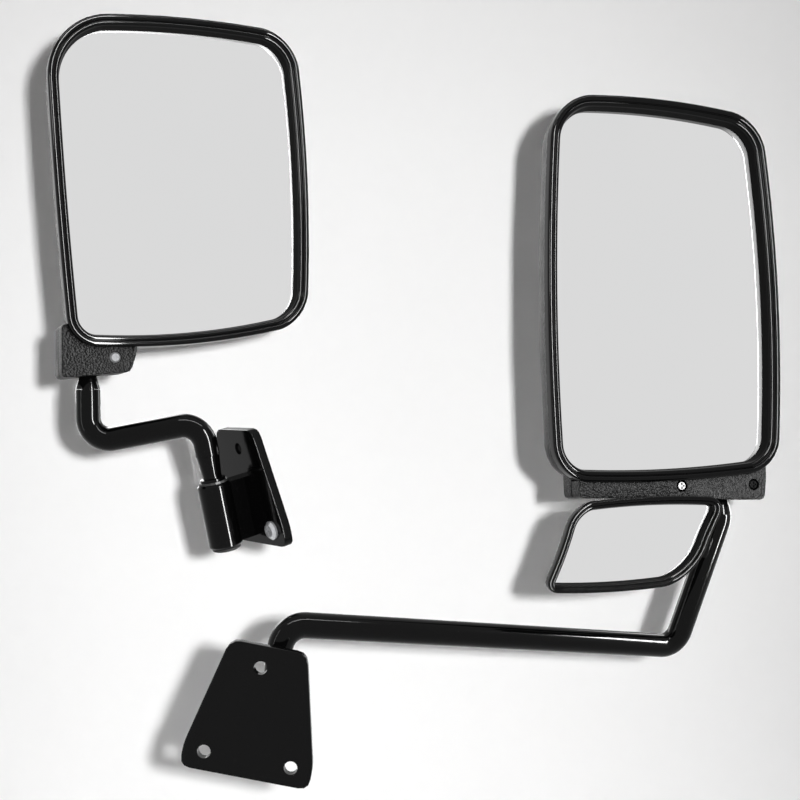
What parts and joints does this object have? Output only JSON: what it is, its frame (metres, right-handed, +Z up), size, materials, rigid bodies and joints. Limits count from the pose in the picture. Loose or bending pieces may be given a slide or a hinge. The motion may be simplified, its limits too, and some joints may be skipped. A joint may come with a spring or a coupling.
{
  "type": "towing mirror",
  "caption": "Pair of towing mirrors: framed glass heads on bent tube arms that fold on cast plate brackets, with a small convex spot mirror under the long-arm one.",
  "frame": {"origin": "middle of the passenger bracket's flat mating face", "axes": "+Z up, -Y out of the passenger bracket's mating face and towards the viewer of the mirrors, +X to the viewer's right"},
  "size_m": [0.6226, 0.2098, 0.6122],
  "materials": {
    "painted_metal": "gloss black paint",
    "gloss_rim": "gloss black",
    "grained_shell": "grained black",
    "mirror_glass": "silvered glass",
    "backing_board": "black board",
    "nylon": "black nylon",
    "steel_spring": "plain steel",
    "zinc_fasteners": "zinc plated",
    "rubber_cap": "black rubber"
  },
  "bodies": {
    "brackets": {"driver_bracket": "painted_metal", "driver_thrust_washer": "nylon", "driver_pivot_bush": "nylon", "driver_boss_cap": "rubber_cap", "passenger_bracket": "painted_metal", "passenger_thrust_washer": "nylon", "passenger_pivot_bush": "nylon", "passenger_boss_cap": "rubber_cap", "driver_bracket_screw": "zinc_fasteners"},
    "driver_arm": {"driver_arm_tube": "painted_metal", "driver_pivot_pin": "painted_metal", "driver_pivot_spring": "steel_spring", "driver_pivot_washer": "zinc_fasteners", "driver_pivot_nut": "zinc_fasteners", "driver_ball_stud": "painted_metal"},
    "driver_swivel": {"driver_ball_liner": "nylon"},
    "driver_head": {"driver_shell": "grained_shell", "driver_foot_cover": "grained_shell", "driver_rim": "gloss_rim", "driver_glass": "mirror_glass", "driver_backing_plate": "backing_board", "driver_foot_screw": "zinc_fasteners"},
    "passenger_arm": {"passenger_arm_tube": "painted_metal", "passenger_pivot_pin": "painted_metal", "passenger_pivot_spring": "steel_spring", "passenger_pivot_washer": "zinc_fasteners", "passenger_pivot_nut": "zinc_fasteners", "passenger_ball_stud": "painted_metal", "passenger_spot_lug": "painted_metal", "passenger_spot_ball_stud": "zinc_fasteners", "passenger_spot_stud_nut": "zinc_fasteners"},
    "passenger_swivel": {"passenger_ball_liner": "nylon"},
    "passenger_head": {"passenger_shell": "grained_shell", "passenger_foot_cover": "grained_shell", "passenger_rim": "gloss_rim", "passenger_glass": "mirror_glass", "passenger_backing_plate": "backing_board", "passenger_foot_screw_1": "painted_metal", "passenger_foot_screw_2": "painted_metal"},
    "spot_swivel": {"passenger_spot_liner": "nylon"},
    "spot_head": {"passenger_spot_shell": "grained_shell", "passenger_spot_rim": "gloss_rim", "passenger_spot_glass": "mirror_glass", "passenger_spot_backing": "backing_board"}
  },
  "joints": [
    {"name": "driver_arm_fold", "type": "hinge", "parent": "brackets", "child": "driver_arm", "pos_m": [-0.0485, 0.117, 0.16652], "axis": [-0.1773, -0.1385, 0.9744], "range_deg": [-60, 60]},
    {"name": "driver_head_swivel", "type": "hinge", "parent": "driver_arm", "child": "driver_swivel", "pos_m": [-0.1531, 0.117, 0.26742], "axis": [0, 0, 1], "range_deg": [-20, 20]},
    {"name": "driver_head_tilt", "type": "hinge", "parent": "driver_swivel", "child": "driver_head", "pos_m": [-0.1531, 0.117, 0.26742], "axis": [0.9135, 0.4067, 0], "range_deg": [-8, 8]},
    {"name": "passenger_arm_fold", "type": "hinge", "parent": "brackets", "child": "passenger_arm", "pos_m": [0.0092, 0.032, 0.01352], "axis": [0.1874, 0, 0.9823], "range_deg": [-40, 70]},
    {"name": "passenger_head_swivel", "type": "hinge", "parent": "passenger_arm", "child": "passenger_swivel", "pos_m": [0.382, 0.152, 0.16062], "axis": [0, 0, 1], "range_deg": [-20, 7]},
    {"name": "passenger_head_tilt", "type": "hinge", "parent": "passenger_swivel", "child": "passenger_head", "pos_m": [0.382, 0.152, 0.16062], "axis": [0.9703, 0.2419, 0], "range_deg": [-8, 8]},
    {"name": "spot_swivel", "type": "hinge", "parent": "passenger_arm", "child": "spot_swivel", "pos_m": [0.34241, 0.1164, 0.11901], "axis": [0, 0, 1], "range_deg": [-10, 10]},
    {"name": "spot_tilt", "type": "hinge", "parent": "spot_swivel", "child": "spot_head", "pos_m": [0.34241, 0.1164, 0.11901], "axis": [0.9781, 0.2079, 0], "range_deg": [-8, 8]}
  ]
}
